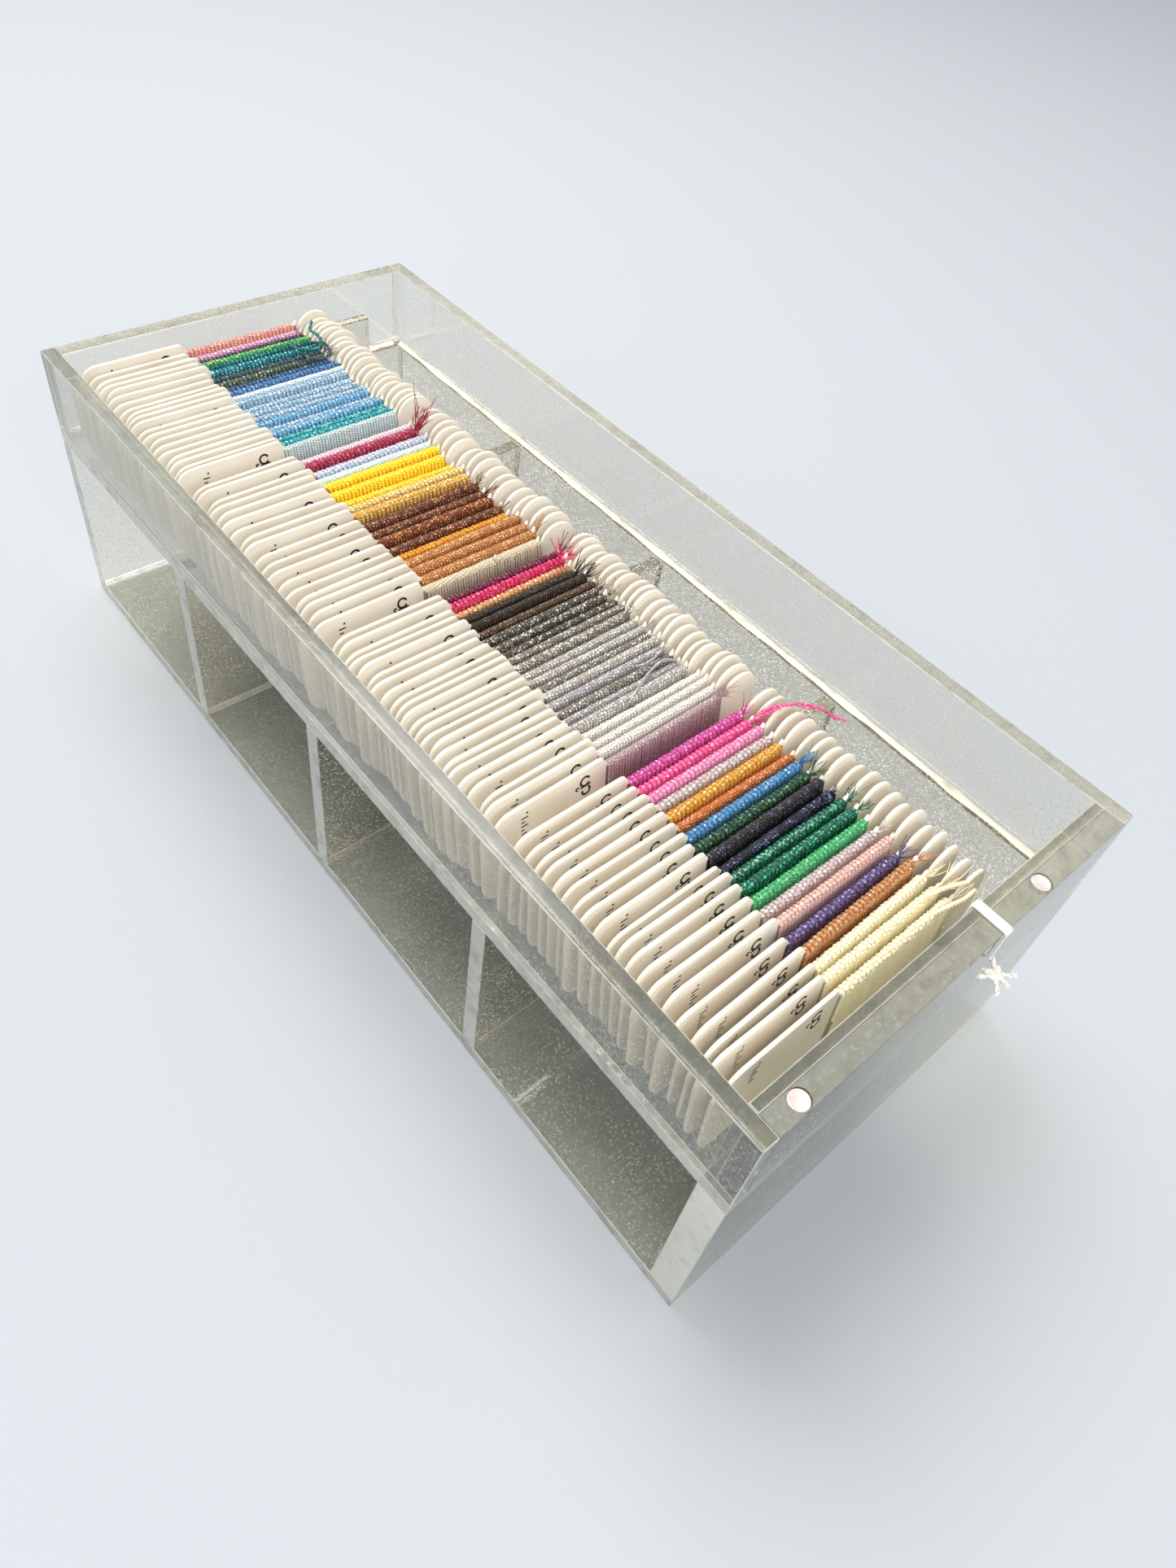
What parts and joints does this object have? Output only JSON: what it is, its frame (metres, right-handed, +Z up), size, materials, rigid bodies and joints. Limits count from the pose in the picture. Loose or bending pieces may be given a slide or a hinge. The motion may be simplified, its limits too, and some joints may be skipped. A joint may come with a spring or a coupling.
{
  "type": "bobbin box",
  "caption": "Two-level clear acrylic bobbin box: a base with four open cubbies under a lift-off tray that holds a row of wound thread cards.",
  "frame": {"origin": "centre of the base's footprint, on the table", "axes": "+X along the box towards the end with two magnets, -Y towards the open front of the cubbies, +Z up"},
  "size_m": [0.3437, 0.143, 0.106],
  "materials": {
    "acrylic": "clear cast acrylic sheet, polished faces, softly frosted sawn edges",
    "card": "matt cream card stock wound with metallic braid",
    "cotton": "soft white cotton",
    "magnet_face": "nickel-plated disc, bright satin face",
    "magnet_dark": "dark plated disc"
  },
  "bodies": {
    "base": {"base_floor": "acrylic", "base_far_panel": "acrylic", "base_near_panel": "acrylic", "base_back_panel": "acrylic", "base_divider_1": "acrylic", "base_divider_2": "acrylic", "base_divider_3": "acrylic"},
    "tray": {"tray_floor": "acrylic", "tray_front_wall": "acrylic", "tray_back_wall": "acrylic", "tray_far_wall": "acrylic", "tray_near_wall": "acrylic", "tray_end_block": "acrylic", "end_magnet_front": "magnet_face", "end_magnet_back": "magnet_face", "far_stop_block": "acrylic", "far_stop_magnet": "magnet_dark", "string_tape": "cotton", "string_knot": "cotton"},
    "bobbins_01": {"bobbins_01": "card"},
    "bobbins_02": {"bobbins_02": "card"},
    "bobbins_03": {"bobbins_03": "card"},
    "bobbins_04": {"bobbins_04": "card"},
    "bobbins_05": {"bobbins_05": "card"},
    "bobbins_06": {"bobbins_06": "card"},
    "bobbins_07": {"bobbins_07": "card"},
    "bobbins_08": {"bobbins_08": "card"},
    "bobbins_09": {"bobbins_09": "card"},
    "bobbins_10": {"bobbins_10": "card"},
    "bobbins_11": {"bobbins_11": "card"},
    "bobbins_12": {"bobbins_12": "card"},
    "bobbins_13": {"bobbins_13": "card"},
    "bobbins_14": {"bobbins_14": "card"},
    "bobbins_15": {"bobbins_15": "card"},
    "bobbins_16": {"bobbins_16": "card"},
    "bobbins_17": {"bobbins_17": "card"},
    "bobbins_18": {"bobbins_18": "card"},
    "bobbins_19": {"bobbins_19": "card"},
    "bobbins_20": {"bobbins_20": "card"},
    "bobbins_21": {"bobbins_21": "card"},
    "bobbins_22": {"bobbins_22": "card"},
    "bobbins_23": {"bobbins_23": "card"},
    "bobbins_24": {"bobbins_24": "card"},
    "bobbins_25": {"bobbins_25": "card"},
    "bobbins_26": {"bobbins_26": "card"},
    "bobbins_27": {"bobbins_27": "card"},
    "bobbins_28": {"bobbins_28": "card"},
    "bobbins_29": {"bobbins_29": "card"},
    "bobbins_30": {"bobbins_30": "card"},
    "bobbins_31": {"bobbins_31": "card"},
    "bobbins_32": {"bobbins_32": "card"},
    "bobbins_33": {"bobbins_33": "card"},
    "bobbins_34": {"bobbins_34": "card"},
    "bobbins_35": {"bobbins_35": "card"},
    "bobbins_36": {"bobbins_36": "card"},
    "bobbins_37": {"bobbins_37": "card"},
    "bobbins_38": {"bobbins_38": "card"},
    "bobbins_39": {"bobbins_39": "card"},
    "bobbins_40": {"bobbins_40": "card"}
  },
  "joints": [
    {"name": "tray_lift", "type": "slide", "parent": "base", "child": "tray", "axis": [0, 0, 1], "range_m": [0, 0.08]},
    {"name": "bobbins_01_lift", "type": "slide", "parent": "tray", "child": "bobbins_01", "axis": [-0.1392, 0, 0.9903], "range_m": [0, 0.045]},
    {"name": "bobbins_02_lift", "type": "slide", "parent": "tray", "child": "bobbins_02", "axis": [-0.1392, 0, 0.9903], "range_m": [0, 0.045]},
    {"name": "bobbins_03_lift", "type": "slide", "parent": "tray", "child": "bobbins_03", "axis": [-0.1392, 0, 0.9903], "range_m": [0, 0.045]},
    {"name": "bobbins_04_lift", "type": "slide", "parent": "tray", "child": "bobbins_04", "axis": [-0.1392, 0, 0.9903], "range_m": [0, 0.045]},
    {"name": "bobbins_05_lift", "type": "slide", "parent": "tray", "child": "bobbins_05", "axis": [-0.1392, 0, 0.9903], "range_m": [0, 0.045]},
    {"name": "bobbins_06_lift", "type": "slide", "parent": "tray", "child": "bobbins_06", "axis": [-0.1392, 0, 0.9903], "range_m": [0, 0.045]},
    {"name": "bobbins_07_lift", "type": "slide", "parent": "tray", "child": "bobbins_07", "axis": [-0.1392, 0, 0.9903], "range_m": [0, 0.045]},
    {"name": "bobbins_08_lift", "type": "slide", "parent": "tray", "child": "bobbins_08", "axis": [-0.1392, 0, 0.9903], "range_m": [0, 0.045]},
    {"name": "bobbins_09_lift", "type": "slide", "parent": "tray", "child": "bobbins_09", "axis": [-0.1392, 0, 0.9903], "range_m": [0, 0.045]},
    {"name": "bobbins_10_lift", "type": "slide", "parent": "tray", "child": "bobbins_10", "axis": [-0.1392, 0, 0.9903], "range_m": [0, 0.045]},
    {"name": "bobbins_11_lift", "type": "slide", "parent": "tray", "child": "bobbins_11", "axis": [-0.1392, 0, 0.9903], "range_m": [0, 0.045]},
    {"name": "bobbins_12_lift", "type": "slide", "parent": "tray", "child": "bobbins_12", "axis": [-0.1392, 0, 0.9903], "range_m": [0, 0.045]},
    {"name": "bobbins_13_lift", "type": "slide", "parent": "tray", "child": "bobbins_13", "axis": [-0.1392, 0, 0.9903], "range_m": [0, 0.045]},
    {"name": "bobbins_14_lift", "type": "slide", "parent": "tray", "child": "bobbins_14", "axis": [-0.1392, 0, 0.9903], "range_m": [0, 0.045]},
    {"name": "bobbins_15_lift", "type": "slide", "parent": "tray", "child": "bobbins_15", "axis": [-0.1392, 0, 0.9903], "range_m": [0, 0.045]},
    {"name": "bobbins_16_lift", "type": "slide", "parent": "tray", "child": "bobbins_16", "axis": [-0.1392, 0, 0.9903], "range_m": [0, 0.045]},
    {"name": "bobbins_17_lift", "type": "slide", "parent": "tray", "child": "bobbins_17", "axis": [-0.1392, 0, 0.9903], "range_m": [0, 0.045]},
    {"name": "bobbins_18_lift", "type": "slide", "parent": "tray", "child": "bobbins_18", "axis": [-0.1392, 0, 0.9903], "range_m": [0, 0.045]},
    {"name": "bobbins_19_lift", "type": "slide", "parent": "tray", "child": "bobbins_19", "axis": [-0.1392, 0, 0.9903], "range_m": [0, 0.045]},
    {"name": "bobbins_20_lift", "type": "slide", "parent": "tray", "child": "bobbins_20", "axis": [-0.1392, 0, 0.9903], "range_m": [0, 0.045]},
    {"name": "bobbins_21_lift", "type": "slide", "parent": "tray", "child": "bobbins_21", "axis": [-0.1392, 0, 0.9903], "range_m": [0, 0.045]},
    {"name": "bobbins_22_lift", "type": "slide", "parent": "tray", "child": "bobbins_22", "axis": [-0.1392, 0, 0.9903], "range_m": [0, 0.045]},
    {"name": "bobbins_23_lift", "type": "slide", "parent": "tray", "child": "bobbins_23", "axis": [-0.1392, 0, 0.9903], "range_m": [0, 0.045]},
    {"name": "bobbins_24_lift", "type": "slide", "parent": "tray", "child": "bobbins_24", "axis": [-0.1392, 0, 0.9903], "range_m": [0, 0.045]},
    {"name": "bobbins_25_lift", "type": "slide", "parent": "tray", "child": "bobbins_25", "axis": [-0.1392, 0, 0.9903], "range_m": [0, 0.045]},
    {"name": "bobbins_26_lift", "type": "slide", "parent": "tray", "child": "bobbins_26", "axis": [-0.1392, 0, 0.9903], "range_m": [0, 0.045]},
    {"name": "bobbins_27_lift", "type": "slide", "parent": "tray", "child": "bobbins_27", "axis": [-0.1392, 0, 0.9903], "range_m": [0, 0.045]},
    {"name": "bobbins_28_lift", "type": "slide", "parent": "tray", "child": "bobbins_28", "axis": [-0.1392, 0, 0.9903], "range_m": [0, 0.045]},
    {"name": "bobbins_29_lift", "type": "slide", "parent": "tray", "child": "bobbins_29", "axis": [-0.1392, 0, 0.9903], "range_m": [0, 0.045]},
    {"name": "bobbins_30_lift", "type": "slide", "parent": "tray", "child": "bobbins_30", "axis": [-0.1392, 0, 0.9903], "range_m": [0, 0.045]},
    {"name": "bobbins_31_lift", "type": "slide", "parent": "tray", "child": "bobbins_31", "axis": [-0.1392, 0, 0.9903], "range_m": [0, 0.045]},
    {"name": "bobbins_32_lift", "type": "slide", "parent": "tray", "child": "bobbins_32", "axis": [-0.1392, 0, 0.9903], "range_m": [0, 0.045]},
    {"name": "bobbins_33_lift", "type": "slide", "parent": "tray", "child": "bobbins_33", "axis": [-0.1392, 0, 0.9903], "range_m": [0, 0.045]},
    {"name": "bobbins_34_lift", "type": "slide", "parent": "tray", "child": "bobbins_34", "axis": [-0.1392, 0, 0.9903], "range_m": [0, 0.045]},
    {"name": "bobbins_35_lift", "type": "slide", "parent": "tray", "child": "bobbins_35", "axis": [-0.1392, 0, 0.9903], "range_m": [0, 0.045]},
    {"name": "bobbins_36_lift", "type": "slide", "parent": "tray", "child": "bobbins_36", "axis": [-0.1392, 0, 0.9903], "range_m": [0, 0.045]},
    {"name": "bobbins_37_lift", "type": "slide", "parent": "tray", "child": "bobbins_37", "axis": [-0.1392, 0, 0.9903], "range_m": [0, 0.045]},
    {"name": "bobbins_38_lift", "type": "slide", "parent": "tray", "child": "bobbins_38", "axis": [-0.1392, 0, 0.9903], "range_m": [0, 0.045]},
    {"name": "bobbins_39_lift", "type": "slide", "parent": "tray", "child": "bobbins_39", "axis": [-0.1392, 0, 0.9903], "range_m": [0, 0.045]},
    {"name": "bobbins_40_lift", "type": "slide", "parent": "tray", "child": "bobbins_40", "axis": [-0.1392, 0, 0.9903], "range_m": [0, 0.045]}
  ]
}
